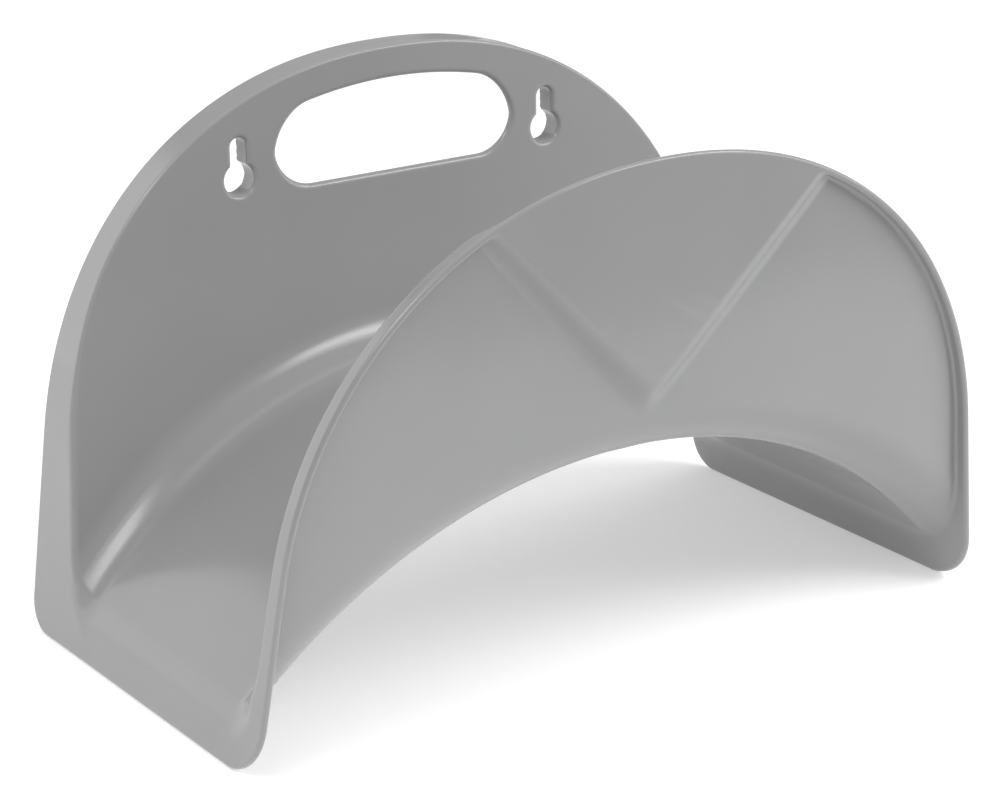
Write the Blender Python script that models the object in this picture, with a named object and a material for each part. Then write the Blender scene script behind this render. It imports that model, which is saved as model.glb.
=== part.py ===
# Wall hose hanger: one injection-moulded saddle hanger, modelled as its three moulded
# sections (back plate, saddle, front flange) that meet face to face on one rigid body.
#
# Frame: +X is the width, +Y points into the wall, +Z is up. The wall is the plane y = 0.
# The origin is on the wall, midway between the two screw seats of the keyholes.
# The shapes below are drawn with z = 0 at the underside of the legs; an empty carries
# them down so that the screw seats come to z = 0.

import math

import bmesh
import bpy

MM = 0.001

# ---------------------------------------------------------------- driving dimensions (mm)
WALL = 3.0                 # wall thickness of the plate, the saddle and the sides
FRONT_WALL = 3.3           # wall thickness of the flange
RIM_WIDTH = 2.4            # width of the rim's front face
GAP = 0.3                  # clearance between neighbouring sections

# outline seen from the front: straight leaning sides that run into a flattened arc
# arc: half-width, rise above its centre, height of the centre above the feet, exponent
# (2 is an ellipse, more is squarer), and where the straight side leaves it, in radians
PLATE_ARC = (133.0, 140.3, 42.0, 2.21, 0.159)
FRONT_ARC = (134.0, 133.3, 42.5, 2.13, 0.143)
TAPER_Y0 = 28.0            # the outline keeps the plate's shape up to here
TAPER_Y1 = 150.0           # and has the flange's shape from here on

# back plate: upright at the top, leaning forward towards the foot, with a soft bend between
PLATE_TOP = 13.2           # distance of its face from the wall, at the top
PLATE_LEAN = 0.16          # mm further from the wall per mm of height lost, below the bend
PLATE_BEND = 118.0         # height of the bend
PLATE_SOFT = 14.0          # how soft it is

# saddle: a round arch, its axis along Y
ARCH_Z = -105.0            # height of the axis
ARCH_UNDER = 180.0         # radius of the underside
ARCH_TOP = ARCH_UNDER + WALL
REAR_FILLET = 15.0         # between the saddle and the back plate, in the middle
REAR_FILLET_END = 12.0     # and at the sides
FILLET_X0, FILLET_X1 = 92.0, 132.0  # half-widths where it changes from one to the other
FRONT_FILLET = 14.0        # between the saddle and the front flange
FRONT_BEND = 17.0          # the outside of that bend

# front flange: leans out towards the top, a rim round a recessed field, with a raised V
RIM_Y = 153.4              # distance of the rim's front from the wall, at z = 0
RIM_LEAN = 0.091
FIELD_Y = 148.3            # the recessed field
FIELD_LEAN = 0.104
V_HALF = 59.4              # the raised V: half-width and height of its upper corners
V_TOP = 159.6
V_TIP = 97.5               # height of its tip
V_SLOPE = 1.5              # run of its sloping walls per mm of depth
V_BACK = 7.4               # how deep behind the rim the hollow behind it starts

FOOT_ROUND = 11.0          # rounding of the rear foot corners, seen from the side
FRONT_FOOT_ROUND = 18.0    # and of the front foot corners
SECTION_Y1 = 50.0          # where the back plate section ends
SECTION_Y2 = 130.0         # where the front flange section starts

# screw seats and handle
KEY_X = 61.0               # half the distance between the keyholes
KEY_Z = 144.8              # centre of the round hole
KEY_R = 5.6
SLOT_Z = 156.0             # centre of the slot's round end: the screw seat
SLOT_R = 3.0
BOSS_WALL = 2.4
BOSS_DEPTH = 8.0           # the bosses' backs, behind the plate's face
HANDLE_HALF = 47.0         # half-width of the hand hole
HANDLE_BOTTOM = 139.2
HANDLE_TOP = 171.0
HANDLE_TOP_R = 160.0       # radius of its arched top edge
HANDLE_LOW_R = 14.0        # its lower corners
HANDLE_UP_R = 13.5         # its upper corners

SIDES = 36                 # straight pieces in each half of the outline
ARCH_STEPS = 36            # straight pieces along the saddle
ARCH_SWEEP = math.radians(56.0)


# ---------------------------------------------------------------- curves
def half_outline(arc, inset, low, steps):
    """Right foot to the top: (x, z) pairs of one outline, drawn in by inset."""
    a, b, middle, n, start = arc

    def point(t):
        return a * math.cos(t) ** (2 / n), middle + b * math.sin(t) ** (2 / n)

    fine = 600
    ts = [start + (math.pi / 2 - 1e-6 - start) * k / fine for k in range(fine + 1)]
    pts = [point(t) for t in ts]
    run = [0.0]
    for p, q in zip(pts, pts[1:]):
        run.append(run[-1] + math.hypot(q[0] - p[0], q[1] - p[1]))
    half = []
    k = 0
    for i in range(steps):
        want = run[-1] * i / steps
        while run[k + 1] < want:
            k += 1
        p, q = pts[k], pts[k + 1]
        f = (want - run[k]) / (run[k + 1] - run[k])
        tx, tz = q[0] - p[0], q[1] - p[1]
        s = math.hypot(tx, tz)
        nx, nz = tz / s, -tx / s
        half.append((p[0] + f * tx - inset * nx, p[1] + f * tz - inset * nz))
    p, q = pts[0], pts[1]
    slope = (q[0] - p[0]) / (q[1] - p[1])
    foot = (half[0][0] + slope * (low - half[0][1]), low)
    return [foot] + half + [(0.0, middle + b - inset)]


def outline(front, inset=0.0, low=0.0, steps=SIDES):
    """Right foot, over the top, left foot: (x, z) pairs of the outline, drawn in by inset.
    front runs from 0 at the back plate to 1 at the flange; the sides end at height low."""
    rear = half_outline(PLATE_ARC, inset, low, steps)
    fore = half_outline(FRONT_ARC, inset, low, steps)
    half = [(p[0] + (q[0] - p[0]) * front, p[1] + (q[1] - p[1]) * front) for p, q in zip(rear, fore)]
    return half + [(-x, z) for x, z in reversed(half[:-1])]


def taper(depth):
    return min(max((depth - TAPER_Y0) / (TAPER_Y1 - TAPER_Y0), 0.0), 1.0)


def rim_y(z, back=0.0):
    return -(RIM_Y + RIM_LEAN * z) + back


def field_y(z, back=0.0):
    return -(FIELD_Y + FIELD_LEAN * z) + back


def smooth(x, low, high):
    t = min(max((x - low) / (high - low), 0.0), 1.0)
    return t * t * (3 - 2 * t)


def plate_y(z, back=0.0):
    """The plate's face, drawn back along its normal."""
    u = PLATE_BEND - z
    h = math.hypot(u, PLATE_SOFT)
    slope = 0.5 * PLATE_LEAN * (1 + u / h)
    return -(PLATE_TOP + 0.5 * PLATE_LEAN * (u + h)) + back * math.sqrt(1 + slope * slope)


# ---------------------------------------------------------------- mesh helpers
ROOT = None


def add_object(name, bm, colour=None, cutter=True):
    bmesh.ops.recalc_face_normals(bm, faces=bm.faces)
    mesh = bpy.data.meshes.new(name)
    bm.to_mesh(mesh)
    bm.free()
    obj = bpy.data.objects.new(name, mesh)
    bpy.context.scene.collection.objects.link(obj)
    obj.parent = ROOT
    if cutter:
        obj.hide_render = True
        obj.display_type = "WIRE"
    else:
        mat = bpy.data.materials.new(name)
        mat.use_nodes = True
        bsdf = mat.node_tree.nodes["Principled BSDF"]
        bsdf.inputs["Base Color"].default_value = (*colour, 1.0)
        bsdf.inputs["Roughness"].default_value = 0.38
        bsdf.inputs["Metallic"].default_value = 0.0
        mesh.materials.append(mat)
    return obj


def loft(rings):
    """A closed solid through rings of (x, y, z) points in mm, with flat ends."""
    bm = bmesh.new()
    rows = [[bm.verts.new((x * MM, y * MM, z * MM)) for x, y, z in ring] for ring in rings]
    edges = []
    for row in rows:
        edges.append([bm.edges.new((row[i], row[(i + 1) % len(row)])) for i in range(len(row))])
    for a, b in zip(rows, rows[1:]):
        n = len(a)
        for i in range(n):
            bm.faces.new((a[i], a[(i + 1) % n], b[(i + 1) % n], b[i]))
    bm.faces.new(rows[0][::-1])
    bm.faces.new(rows[-1])
    return bm


def prism(points, y0, y1):
    """A flat outline of (x, z) points pushed along Y from y0 to y1."""
    bm = bmesh.new()
    verts = [bm.verts.new((x * MM, y0 * MM, z * MM)) for x, z in points]
    face = bm.faces.new(verts)
    out = bmesh.ops.extrude_face_region(bm, geom=[face])
    moved = [v for v in out["geom"] if isinstance(v, bmesh.types.BMVert)]
    bmesh.ops.translate(bm, vec=(0, (y1 - y0) * MM, 0), verts=moved)
    return bm


def join(parts):
    """Several closed shapes as one mesh of separate bodies."""
    out = bmesh.new()
    for bm in parts:
        mesh = bpy.data.meshes.new("piece")
        bm.to_mesh(mesh)
        bm.free()
        out.from_mesh(mesh)
        bpy.data.meshes.remove(mesh)
    return out


def boolean(obj, other, operation="DIFFERENCE"):
    mod = obj.modifiers.new(other.name, "BOOLEAN")
    mod.operation = operation
    mod.object = other
    mod.solver = "EXACT"


# ---------------------------------------------------------------- swept profiles
def sweep(profile):
    """The profile of (r, y) points, given for an angle, carried round the arch's axis."""
    rings = []
    for i in range(ARCH_STEPS + 1):
        t = -ARCH_SWEEP + 2 * ARCH_SWEEP * i / ARCH_STEPS
        rings.append([(r * math.sin(t), y, ARCH_Z + r * math.cos(t)) for r, y in profile(t)])
    return loft(rings)


def tangent_arc(line, radius, floor, side, steps, thick=0.0):
    """The arc of a fillet between the round floor (r = floor) and a leaning wall.
    line(r) gives the wall's y and its slope; side is -1 with the arc on the wall's
    front and +1 with it behind. thick pushes the arc out from its centre."""
    rc = floor + radius
    yl, m = line(rc)
    s = math.sqrt(1 + m * m)
    yc = yl + side * radius * s
    end = math.atan2(-side / s, side * m / s)
    if end < 0:
        end += 2 * math.pi
    pts = []
    for k in range(steps + 1):
        a = math.pi + (end - math.pi) * k / steps
        pts.append((rc + (radius + thick) * math.cos(a), yc + (radius + thick) * math.sin(a)))
    return pts, (rc, yc)


def leaning(height_y, lean, t, back=0.0):
    """A wall y = -(height_y + lean z) + back as a line over r at the angle t."""
    m = -lean * math.cos(t)

    def line(r):
        return -height_y - lean * ARCH_Z + m * r + back, m
    return line


R_FAR = 330.0


def rear_fillet(t):
    """The rear fillet's radius at the angle t."""
    x = abs((ARCH_TOP + 5.0) * math.sin(t))
    return REAR_FILLET + (REAR_FILLET_END - REAR_FILLET) * smooth(x, FILLET_X0, FILLET_X1)


def plate_line(t, start, back, steps=14):
    """The plate's face, from far out down to the radius start, at the angle t."""
    pts = []
    for k in range(steps + 1):
        r = R_FAR + (start - R_FAR) * k / steps
        pts.append((r, plate_y(ARCH_Z + r * math.cos(t), back)))
    return pts


def plate_arc(t, radius, thick, first, last, steps):
    """The rear fillet from the plate to the floor, pushed out from its centre by thick.
    The angles count from the plate's side of the arc."""
    pts = []
    for k in range(1, steps + 1):
        a = first + (last - first) * k / steps
        r = ARCH_TOP + radius - (radius + thick) * math.sin(a)
        off = radius - (radius + thick) * math.cos(a)
        pts.append((r, plate_y(ARCH_Z + r * math.cos(t), -off)))
    return pts


def channel_profile(t):
    """The hose channel: everything above the saddle, between plate and flange."""
    back = leaning(FIELD_Y, FIELD_LEAN, t, FRONT_WALL)
    radius = rear_fillet(t)
    rear = plate_line(t, ARCH_TOP + radius, 0.0) + plate_arc(t, radius, 0.0, 0.0, math.pi / 2, 9)
    front, _ = tangent_arc(back, FRONT_FILLET, ARCH_TOP, 1, 6)
    return rear + front + [(R_FAR, back(R_FAR)[0])]


def hollow_profile(t):
    """The hollow behind the back plate, which follows the plate and its fillet."""
    radius = rear_fillet(t)
    end = math.asin(radius / (radius + WALL))
    return (plate_line(t, ARCH_TOP + radius, WALL) + plate_arc(t, radius, WALL, 0.0, end, 9)
            + [(ARCH_TOP, 8.0), (R_FAR, 8.0)])


def under_profile(t):
    """The space under the arch, with the bend where the saddle rolls into the flange."""
    face = leaning(FIELD_Y, FIELD_LEAN, t)
    arc, _ = tangent_arc(face, FRONT_BEND, ARCH_UNDER, 1, 7)
    return [(20.0, 12.0), (ARCH_UNDER, 12.0)] + arc + [(arc[-1][0], -230.0), (20.0, -230.0)]


# ---------------------------------------------------------------- cutters
def keyhole(grow):
    """Round hole with a narrow slot above it, as an outline of (x, z) points."""
    r, s = KEY_R + grow, SLOT_R + grow
    a = math.asin(s / r)
    pts = []
    for k in range(25):
        t = math.pi / 2 - a - (2 * math.pi - 2 * a) * k / 24
        pts.append((r * math.cos(t), KEY_Z + r * math.sin(t)))
    for k in range(11):
        t = math.pi - math.pi * k / 10
        pts.append((s * math.cos(t), SLOT_Z + s * math.sin(t)))
    return pts


def handle_outline():
    zc = HANDLE_TOP - HANDLE_TOP_R
    xl = HANDLE_HALF - HANDLE_LOW_R
    xu = HANDLE_HALF - HANDLE_UP_R
    zu = zc + math.sqrt((HANDLE_TOP_R - HANDLE_UP_R) ** 2 - xu ** 2)
    tilt = math.atan2(zu - zc, xu)
    right = []
    for k in range(9):
        t = -math.pi / 2 + math.pi / 2 * k / 8
        right.append((xl + HANDLE_LOW_R * math.cos(t), HANDLE_BOTTOM + HANDLE_LOW_R * (1 + math.sin(t))))
    for k in range(9):
        t = tilt * k / 8
        right.append((xu + HANDLE_UP_R * math.cos(t), zu + HANDLE_UP_R * math.sin(t)))
    for k in range(1, 6):
        t = tilt + (math.pi / 2 - tilt) * k / 6
        right.append((HANDLE_TOP_R * math.cos(t), zc + HANDLE_TOP_R * math.sin(t)))
    return right + [(0.0, HANDLE_TOP)] + [(-x, z) for x, z in reversed(right)]


def v_ring(depth, grow):
    """The raised V at a depth behind the rim's front, its walls moved out by grow."""
    ux, uz = V_HALF, V_TOP - V_TIP
    s = math.hypot(ux, uz)
    tip = V_TIP - grow * s / ux
    top = 240.0
    half = (top - tip) * ux / uz
    return [(0.0, rim_y(tip, depth), tip), (half, rim_y(top, depth), top), (-half, rim_y(top, depth), top)]


def foot_cut(corner, along, up, radius, name):
    """What is taken off outside a foot corner's rounding, as a bar along X."""
    ax, az = along
    bx, bz = up
    angle = math.acos(ax * bx + az * bz)
    reach = radius / math.tan(angle / 2)
    p = (corner[0] + reach * ax, corner[1] + reach * az)
    q = (corner[0] + reach * bx, corner[1] + reach * bz)
    hx, hz = ax + bx, az + bz
    h = math.hypot(hx, hz)
    c = (corner[0] + hx / h * radius / math.sin(angle / 2), corner[1] + hz / h * radius / math.sin(angle / 2))
    a0 = math.atan2(p[1] - c[1], p[0] - c[0])
    a1 = math.atan2(q[1] - c[1], q[0] - c[0])
    while a1 - a0 > math.pi:
        a1 -= 2 * math.pi
    while a1 - a0 < -math.pi:
        a1 += 2 * math.pi
    arc = [(c[0] + radius * math.cos(a0 + (a1 - a0) * k / 8), c[1] + radius * math.sin(a0 + (a1 - a0) * k / 8))
           for k in range(9)]
    out = 3.0
    ring = arc + [(q[0] - ax * out, q[1] - az * out),
                  (corner[0] - (ax + bx) * out, corner[1] - (az + bz) * out),
                  (p[0] - bx * out, p[1] - bz * out)]
    return add_object(name, loft([[(x, y, z) for y, z in ring] for x in (-170.0, 170.0)]))


def blank(depths, name, colour):
    """The outline as a solid through the given distances from the wall."""
    rings = []
    for d in depths:
        if d == "front":
            rings.append([(x, rim_y(z), z) for x, z in outline(1.0)])
        else:
            rings.append([(x, -d, z) for x, z in outline(taper(d))])
    return add_object(name, loft(rings), colour, cutter=False)


# ---------------------------------------------------------------- the hanger
for obj in list(bpy.data.objects):
    bpy.data.objects.remove(obj, do_unlink=True)

ROOT = bpy.data.objects.new("hanger_origin", None)
bpy.context.scene.collection.objects.link(ROOT)
ROOT.location = (0.0, 0.0, -SLOT_Z * MM)

GREY = (0.30, 0.30, 0.30)

channel = add_object("cut_channel", sweep(channel_profile))

inside = add_object("cut_inside_walls", loft(
    [[(x, y, z) for x, z in outline(f, WALL, -20.0)] for y, f in
     ((20.0, 0.0), (-TAPER_Y0, 0.0), (-TAPER_Y1, 1.0), (-240.0, 1.0))]))

under = add_object("cut_under_arch", sweep(under_profile))
boolean(under, inside, "INTERSECT")

hollow = add_object("cut_hollow", sweep(hollow_profile))
boolean(hollow, inside, "INTERSECT")

rear_foot = foot_cut((0.0, 0.0), (-1.0, 0.0), (0.0, 1.0), FOOT_ROUND, "cut_rear_feet")
lean = math.hypot(1.0, RIM_LEAN)
front_foot = foot_cut((-RIM_Y, 0.0), (1.0, 0.0), (-RIM_LEAN / lean, 1.0 / lean), FRONT_FOOT_ROUND,
                      "cut_front_feet")

# back plate section
back_plate = blank((0.0, TAPER_Y0, SECTION_Y1 - GAP / 2), "back_plate", GREY)
boolean(back_plate, rear_foot)
boolean(back_plate, channel)
boolean(back_plate, under)
boolean(back_plate, hollow)
boss_y = plate_y(SLOT_Z, WALL / 2)
bosses = add_object("add_bosses", join(
    [prism([(sx * KEY_X + x, z) for x, z in keyhole(BOSS_WALL)], boss_y, plate_y(SLOT_Z, BOSS_DEPTH))
     for sx in (-1, 1)]))
boolean(back_plate, bosses, "UNION")
keys = add_object("cut_keyholes", join(
    [prism([(sx * KEY_X + x, z) for x, z in keyhole(0.0)], -40.0, 10.0) for sx in (-1, 1)]))
boolean(back_plate, keys)
handle = add_object("cut_handle", prism(handle_outline(), -40.0, 10.0))
boolean(back_plate, handle)

# saddle section
saddle = blank((SECTION_Y1 + GAP / 2, SECTION_Y2 - GAP / 2), "saddle", GREY)
boolean(saddle, channel)
boolean(saddle, under)

# front flange section
front_flange = blank((SECTION_Y2 + GAP / 2, TAPER_Y1, "front"), "front_flange", GREY)
boolean(front_flange, front_foot)
boolean(front_flange, channel)
V_THICK = FRONT_WALL * math.hypot(1.0, V_SLOPE)
v_back = add_object("cut_v_back", loft(
    [v_ring(FRONT_WALL, V_SLOPE * FRONT_WALL - V_THICK),
     v_ring(V_BACK, V_SLOPE * V_BACK - V_THICK)]))
boolean(front_flange, v_back)
boolean(front_flange, under)
field = add_object("cut_field", loft(
    [[(x, y(z), z) for x, z in outline(1.0, RIM_WIDTH, -20.0)] for y in (lambda z: -240.0, field_y)]))
v_front = add_object("keep_v", loft([v_ring(-10.0, -10.0 * V_SLOPE), v_ring(12.0, 12.0 * V_SLOPE)]))
boolean(field, v_front)
boolean(front_flange, field)

for obj in (back_plate, saddle, front_flange):
    obj.data.shade_smooth()
    obj.data.set_sharp_from_angle(angle=math.radians(30.0))
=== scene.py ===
import math

import bpy
import numpy as np
from mathutils import Matrix, Vector


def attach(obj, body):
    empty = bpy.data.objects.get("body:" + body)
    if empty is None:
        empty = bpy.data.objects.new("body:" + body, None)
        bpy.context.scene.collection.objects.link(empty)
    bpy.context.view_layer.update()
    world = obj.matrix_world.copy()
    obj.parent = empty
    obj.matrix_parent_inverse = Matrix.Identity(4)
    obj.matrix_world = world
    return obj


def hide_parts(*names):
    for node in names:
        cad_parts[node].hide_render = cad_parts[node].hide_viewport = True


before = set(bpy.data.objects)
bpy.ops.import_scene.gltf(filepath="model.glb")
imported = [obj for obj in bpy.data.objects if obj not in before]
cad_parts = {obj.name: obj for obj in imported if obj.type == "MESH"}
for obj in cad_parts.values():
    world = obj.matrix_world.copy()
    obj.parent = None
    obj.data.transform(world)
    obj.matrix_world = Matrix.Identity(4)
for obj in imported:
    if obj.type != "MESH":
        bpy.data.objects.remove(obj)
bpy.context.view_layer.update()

# ------------------------------------------------------------------ the hanger's shape
# One seamless moulding, drawn as a signed distance in millimetres (negative inside the
# plastic) with z = 0 at the feet, so that every edge and inner corner is truly rounded.
SEAT = 156.0               # height of the screw seats above the feet: the frame's origin

PLATE_ARC = (133.0, 140.3, 42.0, 2.21, 0.159)     # half width, height, centre, exponent, start
FRONT_ARC = (134.0, 133.3, 42.5, 2.13, 0.143)
TAPER0, TAPER1 = 28.0, 150.0
AXIS_Z, FLOOR_R, UNDER_R = -105.0, 183.0, 180.0
PLATE_TOP, PLATE_LEAN, PLATE_BEND, PLATE_SOFT = 13.2, 0.16, 118.0, 14.0
RIM_Y, RIM_LEAN = 153.4, 0.091
FIELD_Y, FIELD_LEAN = 148.3, 0.104
WALL, FRONT_WALL = 3.0, 3.3
V_TIP, V_SLOPE = 97.5, 1.5
V_NX, V_NZ = 0.7226, 0.6912


def outline_points(a, b, middle, n, start):
    """Right half of the outline, from below the foot to the top, as (x, z) points."""
    t = np.linspace(start, math.pi / 2 - 1e-5, 3000)
    x = a * np.cos(t) ** (2 / n)
    z = middle + b * np.sin(t) ** (2 / n)
    slope = (x[1] - x[0]) / (z[1] - z[0])
    zl = np.linspace(-40.0, z[0], 400, endpoint=False)
    xl = x[0] + slope * (zl - z[0])
    x, z = np.append(xl, x), np.append(zl, z)
    return np.append(x, 0.0), np.append(z, middle + b)


def outline_table(arc):
    x, z = outline_points(*arc)
    tx, tz = np.gradient(x), np.gradient(z)
    s = np.hypot(tx, tz)
    nx, nz = tz / s, -tx / s
    r = np.hypot(x, z)
    return np.arctan2(z, x), r, (x * nx + z * nz) / r


PLATE_TABLE = outline_table(PLATE_ARC)
FRONT_TABLE = outline_table(FRONT_ARC)


def rmax(a, b, r):
    """Intersection with a rounded edge."""
    return np.minimum(np.maximum(a, b), -r) + np.hypot(np.maximum(a + r, 0), np.maximum(b + r, 0))


def rmin(a, b, r):
    """Union with a filleted inner corner."""
    return np.maximum(np.minimum(a, b), r) - np.hypot(np.maximum(r - a, 0), np.maximum(r - b, 0))


def step(x, lo, hi):
    t = np.clip((x - lo) / (hi - lo), 0, 1)
    return t * t * (3 - 2 * t)


def plate_depth(z):
    """How far the plate's face stands off the wall, and its slope: upright at the top,
    leaning forward towards the foot."""
    u = PLATE_BEND - z
    h = np.sqrt(u * u + PLATE_SOFT ** 2)
    return PLATE_TOP + PLATE_LEAN * 0.5 * (u + h), -PLATE_LEAN * 0.5 * (1 + u / h)


def solid(x, y, z):
    """Signed distance to the moulding."""
    ax = np.abs(x)
    phi, rad = np.arctan2(z, ax), np.hypot(x, z)
    p, r, c = PLATE_TABLE
    d0 = (rad - np.interp(phi, p, r)) * np.interp(phi, p, c)
    p, r, c = FRONT_TABLE
    d1 = (rad - np.interp(phi, p, r)) * np.interp(phi, p, c)
    f = np.clip((-y - TAPER0) / (TAPER1 - TAPER0), 0, 1)
    side = d0 + (d1 - d0) * f
    r = np.hypot(x, z - AXIS_Z)

    depth, slope = plate_depth(z)
    plate = -(y + depth) / np.sqrt(1 + slope * slope)
    floor = r - FLOOR_R
    rear = rmin(plate, floor, 15.0 - 3.0 * step(ax, 92.0, 132.0))

    nb = math.hypot(1, FIELD_LEAN)
    back = (y + FIELD_Y - FRONT_WALL + FIELD_LEAN * z) / nb
    deep = (y + RIM_Y + RIM_LEAN * z) / math.hypot(1, RIM_LEAN)
    g = V_NX * np.sqrt(x * x + 14.0) - V_NZ * (z - V_TIP)
    vs = math.hypot(1, V_SLOPE)
    raised = (g - V_SLOPE * deep) / vs
    hollow_v = rmax(raised + FRONT_WALL, FRONT_WALL - deep, 2.0)
    front = rmin(floor, rmax(back, -hollow_v, 1.5), 14.0)
    channel = np.minimum(rear, front)

    field = -(y + FIELD_Y + FIELD_LEAN * z) / nb
    sheet = rmax(rmin(field, raised, 1.1), UNDER_R - r, 17.0)
    width = 3.0 - 0.7 * step(-y, 138.0, 150.0)
    d = rmin(sheet, -(side + width), 2.2 - 1.1 * step(-y, 126.0, 140.0))
    ends = rmax(rmax(y, -z, 11.0), -deep, 18.0)
    d = rmax(d, ends, 1.1)
    soft = 1.4 * (1 - step(z, 75.0, 105.0)) * (1 - step(-y, 40.0, 70.0)) + 1.2 * step(-y, 136.0, 146.0)
    outer = rmax(side, channel, 1.0 + np.maximum(soft, 4.0 * (1 - step(z, 17.0, 30.0))))
    d = rmax(d, outer, 1.2)

    hollow = rmax(rmax(rear + WALL, -floor, 1.5), side + 3.4, 2.5)
    d = rmax(d, -hollow, 0.6)

    kx = ax - 61.0
    key = np.minimum(np.hypot(kx, z - 144.8) - 5.6,
                     np.hypot(kx, z - np.clip(z, 144.8, SEAT)) - 3.0)
    key = np.maximum(key, -y - 60.0)
    boss = np.maximum(np.maximum(key - 2.4, -plate - 8.0), plate + 1.5)
    d = rmin(d, boss, 0.8)
    d = rmax(d, -key, 0.35 + 1.1 * step(plate, -4.0, -2.0))

    hole = rmax(rmax(139.2 - z, ax - 47.0, 14.0), np.hypot(x, z - 11.0) - 160.0, 13.5)
    hole = np.maximum(hole, -y - 60.0)
    return rmax(d, -hole, 1.8)


def gradient(p, e=0.03):
    g = np.empty_like(p)
    for k in range(3):
        q = p.copy()
        q[:, k] += e
        hi = solid(*q.T)
        q[:, k] -= 2 * e
        g[:, k] = (hi - solid(*q.T)) / (2 * e)
    return g


def project(p, turns=4):
    """Moves points onto the surface along the distance's gradient."""
    for _ in range(turns):
        g = gradient(p)
        d = solid(*p.T)
        n2 = np.maximum((g * g).sum(1), 0.2)
        move = np.clip(d / n2, -0.6, 0.6)
        p = p - g * move[:, None]
    return p


# ------------------------------------------------------------------ the mesh
# The grid's lines follow the outline, the arch and the leaning walls, so that the edges'
# rounding is cut into even strips.
def levels(*parts):
    """Values from runs of (end, step), starting at the first number."""
    at = parts[0]
    out = [at]
    for end, gap in parts[1:]:
        n = max(1, int(round(abs(end - at) / gap)))
        out += [at + (end - at) * (k + 1) / n for k in range(n)]
        at = end
    return np.array(out)


def grid_lines():
    phi_t, r_t, c_t = PLATE_TABLE
    angle = [math.radians(-1.6)]
    while angle[-1] < math.pi / 2:
        a = angle[-1]
        rr = float(np.interp(a, phi_t, r_t))
        x = rr * math.cos(a)
        fine = 1.1 if x < 84 else 1.6
        if a < math.radians(6):
            fine = 0.9
        angle.append(a + fine / rr)
    half = np.array(angle)
    half = half[0] + (half - half[0]) * (math.pi / 2 - half[0]) / (half[-1] - half[0])
    phi = np.append(half, math.pi - half[-2::-1])
    ph = np.where(phi > math.pi / 2, math.pi - phi, phi)
    rout, cos = np.interp(ph, phi_t, r_t), np.interp(ph, phi_t, c_t)
    s = np.sin(ph)
    rin = AXIS_Z * s + np.sqrt((AXIS_Z * s) ** 2 + (UNDER_R - 2.5) ** 2 - AXIS_Z ** 2)
    rin = np.minimum(rin, rout - 9.5 / cos)
    edge = levels(1.3, (-1.4, 0.45), (-2.4, 0.5), (-5.2, 0.47), (-8.0, 0.7))
    mid = np.concatenate([np.linspace(0, 0.78, 74)[1:], levels(0.78, (1.0, 0.0145))[1:]])
    rad = [rout + e / cos for e in edge]
    start = rout - 8.0 / cos
    rad += [start + (rin - start) * m for m in mid]
    rad = np.array(rad[::-1]).T
    eta = levels(0.6, (-1.8, 0.4), (-4.2, 0.8), (-27.5, 1.4), (-34.0, 0.52), (-56.0, 1.5), (-126.0, 4.4),
                 (-142.0, 1.3), (-155.6, 0.55))[::-1]
    return phi, rad, eta


def shear(eta, z):
    """The grid's depth lines lean with the wall, the plate and the rim."""
    depth, low = plate_depth(z)[0], plate_depth(0.0)[0]
    wall = eta * depth / low
    near = eta + (low - depth) * (1 - step(-eta, low, 80.0))
    far = -RIM_LEAN * z * step(-eta, 95.0, 143.0)
    return np.where(eta > -low, wall, near + far)


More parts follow.
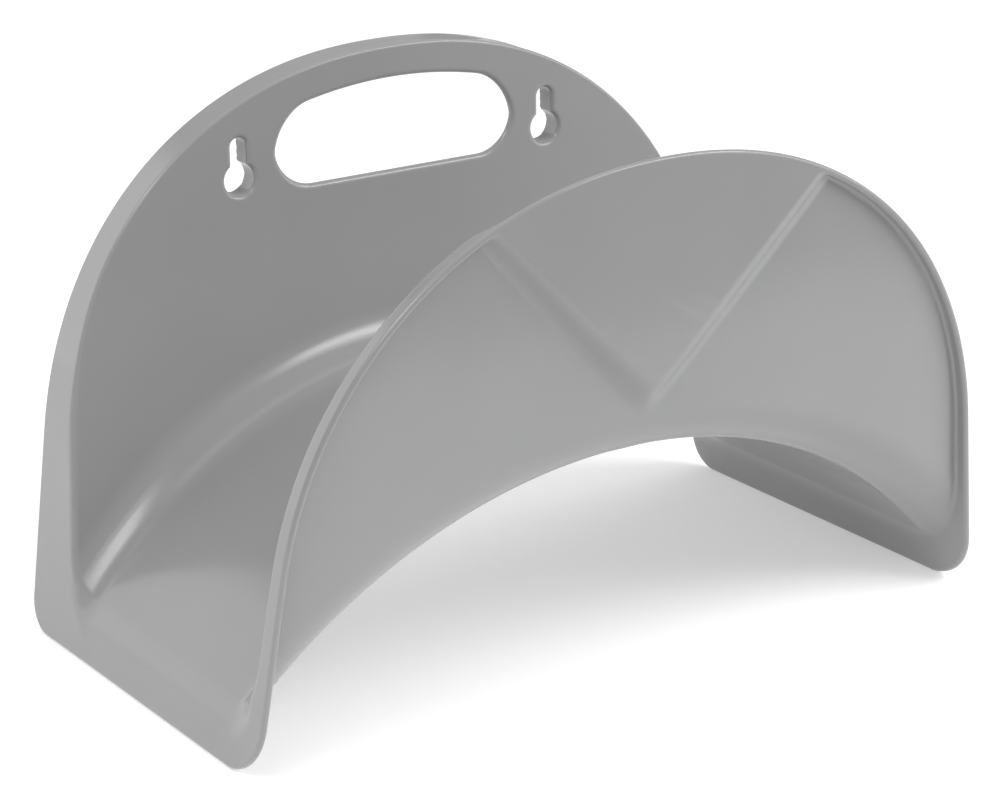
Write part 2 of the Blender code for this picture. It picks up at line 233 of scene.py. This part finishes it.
def moulding():
    phi, rad, eta = grid_lines()
    gx = rad * np.cos(phi)[:, None]
    gz = rad * np.sin(phi)[:, None]
    ni, nj, nk = len(phi), rad.shape[1], len(eta)
    dist = np.empty((ni, nj, nk), np.float32)
    for i in range(0, ni, 40):
        x = gx[i:i + 40, :, None] + 0 * eta
        z = gz[i:i + 40, :, None] + 0 * eta
        dist[i:i + 40] = solid(x, shear(eta, z), z)
    inside = dist < 0
    count = np.zeros((ni - 1, nj - 1, nk - 1), np.int8)
    for a in (0, 1):
        for b in (0, 1):
            for c in (0, 1):
                count += inside[a:ni - 1 + a, b:nj - 1 + b, c:nk - 1 + c]
    active = (count > 0) & (count < 8)
    index = np.full(active.shape, -1, np.int32)
    index[active] = np.arange(active.sum())
    ci, cj, ck = np.nonzero(active)

    def place(i, j, k):
        z = gz[i, j]
        return np.stack([gx[i, j], shear(eta[k], z), z], 1)

    total, hits = np.zeros((len(ci), 3)), np.zeros(len(ci))
    for axis in range(3):
        for u in (0, 1):
            for v in (0, 1):
                a = [u, v]
                a.insert(axis, 0)
                b = list(a)
                b[axis] = 1
                da = dist[ci + a[0], cj + a[1], ck + a[2]].astype(float)
                db = dist[ci + b[0], cj + b[1], ck + b[2]].astype(float)
                m = (da < 0) != (db < 0)
                t = da[m] / (da[m] - db[m])
                pa = place(ci[m] + a[0], cj[m] + a[1], ck[m] + a[2])
                pb = place(ci[m] + b[0], cj[m] + b[1], ck[m] + b[2])
                total[m] += pa + t[:, None] * (pb - pa)
                hits[m] += 1
    points = total / hits[:, None]

    quads = []
    for axis in range(3):
        lo, hi, mid = [slice(1, -1)] * 3, [slice(1, -1)] * 3, None
        lo[axis], hi[axis] = slice(0, -1), slice(1, None)
        first = inside[tuple(lo)]
        cross = first != inside[tuple(hi)]
        where = list(np.nonzero(cross))
        out = first[cross]
        for k in range(3):
            if k != axis:
                where[k] = where[k] + 1
        u, v = [k for k in range(3) if k != axis]
        ring = []
        for du, dv in ((-1, -1), (0, -1), (0, 0), (-1, 0)):
            at = list(where)
            at[u] = at[u] + du
            at[v] = at[v] + dv
            ring.append(index[tuple(at)])
        ring = np.stack(ring, 1)
        turn = out if axis != 1 else ~out
        ring[~turn] = ring[~turn][:, ::-1]
        quads.append(ring)
    quads = np.concatenate(quads)
    # the grid's own handedness: phi runs anticlockwise seen from the front, radii outwards
    a, b, c = points[quads[:, 0]], points[quads[:, 1]], points[quads[:, 2]]
    face = np.cross(b - a, c - a)
    n = gradient(points[quads[:, 0]])
    if (np.einsum("ij,ij->i", face, n) > 0).mean() < 0.5:
        quads = quads[:, ::-1]
    return project(points), quads


def to_mesh(name, points, faces):
    mesh = bpy.data.meshes.new(name)
    mesh.vertices.add(len(points))
    mesh.vertices.foreach_set("co", points.astype(np.float32).ravel())
    k = faces.shape[1]
    mesh.loops.add(faces.size)
    mesh.loops.foreach_set("vertex_index", faces.astype(np.int32).ravel())
    mesh.polygons.add(len(faces))
    mesh.polygons.foreach_set("loop_start", np.arange(0, faces.size, k, dtype=np.int32))
    mesh.update(calc_edges=True)
    mesh.validate()
    return mesh


FACES_WANTED = 186000      # triangles after the flat and gently curved areas are thinned


def make_hanger():
    points, quads = moulding()
    normal = gradient(points)
    normal /= np.linalg.norm(normal, axis=1)[:, None]
    bend = np.zeros(len(points))
    for k in range(4):
        a, b = quads[:, k], quads[:, (k + 1) % 4]
        gap = np.linalg.norm(points[a] - points[b], axis=1) + 1e-3
        c = np.linalg.norm(normal[a] - normal[b], axis=1) / gap
        np.maximum.at(bend, a, c)
        np.maximum.at(bend, b, c)
    wide = bend.copy()
    for k in range(4):
        a, b = quads[:, k], quads[:, (k + 1) % 4]
        np.maximum.at(wide, a, bend[b])
        np.maximum.at(wide, b, bend[a])
    weight = np.where(wide < 0.016, 1.0, np.where(wide < 0.15, 0.5, 0.0))
    real = points / 1000.0
    real[:, 2] -= SEAT / 1000.0
    mesh = to_mesh("hanger", real, quads)
    obj = bpy.data.objects.new("hose_hanger", mesh)
    bpy.context.scene.collection.objects.link(obj)
    group = obj.vertex_groups.new(name="thin")
    for value in (1.0, 0.5):
        group.add(np.nonzero(weight == value)[0].tolist(), value, "REPLACE")
    mod = obj.modifiers.new("thin", "DECIMATE")
    mod.ratio = min(1.0, FACES_WANTED / (2 * len(quads)))
    mod.vertex_group = "thin"
    mod.vertex_group_factor = 10.0
    bpy.context.view_layer.update()
    done = bpy.data.meshes.new_from_object(obj.evaluated_get(bpy.context.evaluated_depsgraph_get()))
    obj.modifiers.clear()
    obj.vertex_groups.clear()
    obj.data = done
    n = len(done.vertices)
    co = np.empty(n * 3, np.float32)
    done.vertices.foreach_get("co", co)
    p = co.reshape(-1, 3).astype(float) * 1000.0
    p[:, 2] += SEAT
    p = project(p, 3)
    normal = gradient(p)
    normal /= np.linalg.norm(normal, axis=1)[:, None]
    p[:, 2] -= SEAT
    done.vertices.foreach_set("co", (p / 1000.0).astype(np.float32).ravel())
    done.update()
    done.shade_smooth()
    done.normals_split_custom_set_from_vertices(normal.tolist())
    print("hanger:", len(quads), "quads,", n, "vertices,", len(done.polygons), "faces")
    return obj


# ------------------------------------------------------------------ material
def plastic(name):
    """Smooth mid-grey moulded plastic: fine moulded grain, faint flow marks, clear sheen."""
    mat = bpy.data.materials.new(name)
    mat.use_nodes = True
    nt = mat.node_tree
    nodes, links = nt.nodes, nt.links
    bsdf = nodes["Principled BSDF"]
    coord = nodes.new("ShaderNodeTexCoord")

    def noise(scale, detail, rough=0.5, stretch=None):
        n = nodes.new("ShaderNodeTexNoise")
        n.inputs["Scale"].default_value = scale
        n.inputs["Detail"].default_value = detail
        n.inputs["Roughness"].default_value = rough
        if stretch:
            m = nodes.new("ShaderNodeMapping")
            m.inputs["Scale"].default_value = stretch
            links.new(coord.outputs["Object"], m.inputs["Vector"])
            links.new(m.outputs["Vector"], n.inputs["Vector"])
        else:
            links.new(coord.outputs["Object"], n.inputs["Vector"])
        return n

    def spread(node, lo, hi, a=0.3, b=0.7):
        m = nodes.new("ShaderNodeMapRange")
        m.inputs["From Min"].default_value, m.inputs["From Max"].default_value = a, b
        m.inputs["To Min"].default_value, m.inputs["To Max"].default_value = lo, hi
        links.new(node.outputs["Fac"], m.inputs["Value"])
        return m

    flow = noise(9.0, 3.0, 0.55, (1.0, 1.0, 0.45))
    cloud = noise(38.0, 2.0)
    tone = nodes.new("ShaderNodeMath")
    tone.operation = "ADD"
    links.new(spread(flow, -0.010, 0.010).outputs["Result"], tone.inputs[0])
    links.new(spread(cloud, -0.004, 0.004).outputs["Result"], tone.inputs[1])
    mix = nodes.new("ShaderNodeMix")
    mix.data_type = "RGBA"
    mix.inputs[6].default_value = (0.292, 0.293, 0.294, 1)
    mix.inputs[7].default_value = (0.312, 0.313, 0.313, 1)
    mid = nodes.new("ShaderNodeMapRange")
    mid.inputs["From Min"].default_value, mid.inputs["From Max"].default_value = -0.014, 0.014
    links.new(tone.outputs["Value"], mid.inputs["Value"])
    links.new(mid.outputs["Result"], mix.inputs[0])
    links.new(mix.outputs[2], bsdf.inputs["Base Color"])

    links.new(spread(noise(55.0, 4.0, 0.6), 0.15, 0.19).outputs["Result"], bsdf.inputs["Roughness"])
    bsdf.inputs["Specular IOR Level"].default_value = 0.5

    grain = noise(1500.0, 2.0)
    wave = noise(24.0, 1.0, 0.4)
    b1 = nodes.new("ShaderNodeBump")
    b1.inputs["Strength"].default_value = 0.05
    b1.inputs["Distance"].default_value = 0.00012
    links.new(grain.outputs["Fac"], b1.inputs["Height"])
    b2 = nodes.new("ShaderNodeBump")
    b2.inputs["Strength"].default_value = 0.10
    b2.inputs["Distance"].default_value = 0.0004
    links.new(wave.outputs["Fac"], b2.inputs["Height"])
    links.new(b1.outputs["Normal"], b2.inputs["Normal"])
    links.new(b2.outputs["Normal"], bsdf.inputs["Normal"])
    return mat


# ------------------------------------------------------------------ camera, floor, light
CAM_AT = (-570.589, -945.9, 425.249 - SEAT)
YAW, PITCH, ROLL, FOCAL_PX = 0.5801, 0.3261, -0.0141, 3303.30


def make_camera():
    d = Vector((math.sin(YAW) * math.cos(PITCH), math.cos(YAW) * math.cos(PITCH), -math.sin(PITCH)))
    right = Vector((math.cos(YAW), -math.sin(YAW), 0))
    up = right.cross(d)
    r2 = math.cos(ROLL) * right + math.sin(ROLL) * up
    u2 = -math.sin(ROLL) * right + math.cos(ROLL) * up
    data = bpy.data.cameras.new("camera")
    data.sensor_width = 36.0
    data.lens = FOCAL_PX * 36.0 / 1000.0
    data.clip_start, data.clip_end = 0.01, 50.0
    cam = bpy.data.objects.new("camera", data)
    bpy.context.scene.collection.objects.link(cam)
    m = Matrix.Identity(4)
    for i in range(3):
        m[i][0], m[i][1], m[i][2], m[i][3] = r2[i], u2[i], -d[i], CAM_AT[i] / 1000.0
    cam.matrix_world = m
    bpy.context.scene.camera = cam


def area(name, at, aim, size, energy, size_y=None):
    data = bpy.data.lights.new(name, "AREA")
    data.shape = "RECTANGLE" if size_y else "SQUARE"
    data.size = size
    if size_y:
        data.size_y = size_y
    data.energy = energy
    obj = bpy.data.objects.new(name, data)
    bpy.context.scene.collection.objects.link(obj)
    obj.location = at
    obj.rotation_euler = (Vector(aim) - Vector(at)).to_track_quat("-Z", "Y").to_euler()
    return obj


def lamp(name, azimuth, elevation, distance, size, energy, size_y=None):
    """A soft box aimed at the hanger; azimuth 0 is in front of it, positive to its right."""
    a, e = math.radians(azimuth), math.radians(elevation)
    aim = Vector((0, -0.08, -0.07))
    at = aim + distance * Vector((math.sin(a) * math.cos(e), -math.cos(a) * math.cos(e), math.sin(e)))
    return area(name, at, aim, size, energy, size_y)


def make_stage():
    """A plain white table, whose front edge lies just outside the picture."""
    z, w = -(SEAT + 0.2) / 1000.0, 6.0
    mesh = bpy.data.meshes.new("floor")
    mesh.from_pydata([(-w, -0.36, z), (w, -0.36, z), (w, w, z), (-w, w, z)], [], [(0, 1, 2, 3)])
    floor = bpy.data.objects.new("floor", mesh)
    bpy.context.scene.collection.objects.link(floor)
    mat = bpy.data.materials.new("floor")
    mat.use_nodes = True
    bsdf = mat.node_tree.nodes["Principled BSDF"]
    bsdf.inputs["Base Color"].default_value = (0.92, 0.92, 0.92, 1)
    bsdf.inputs["Emission Color"].default_value = (1, 1, 1, 1)
    bsdf.inputs["Emission Strength"].default_value = 0.29
    bsdf.inputs["Roughness"].default_value = 0.9
    bsdf.inputs["Specular IOR Level"].default_value = 0.1
    mesh.materials.append(mat)


make_camera()
make_stage()

world = bpy.data.worlds.new("world")
bpy.context.scene.world = world
world.use_nodes = True
world.node_tree.nodes["Background"].inputs["Color"].default_value = (1, 1, 1, 1)
world.node_tree.nodes["Background"].inputs["Strength"].default_value = 0.47
lamp("left", -68.0, 48.0, 1.4, 1.20, 3.5, 0.50)
lamp("left_core", -72.0, 51.0, 1.4, 0.66, 2.7, 0.24)
lamp("right", 43.0, 38.5, 1.4, 0.95, 5.2, 0.60)
lamp("right_core", 44.0, 38.5, 1.4, 0.88, 3.9, 0.28)
lamp("low", 56.0, 16.0, 1.4, 0.90, 4.0, 0.60)
lamp("top", 180.0, 72.0, 1.4, 1.30, 2.9, 1.00)
lamp("rear", -144.0, 15.0, 1.4, 1.35, 3.8, 0.87)
bpy.context.scene.view_settings.view_transform = "Standard"

hanger = make_hanger()
hanger.data.materials.clear()
hanger.data.materials.append(plastic("grey_plastic"))
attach(hanger, "root")
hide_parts("back_plate", "saddle", "front_flange")

bpy.context.view_layer.update()
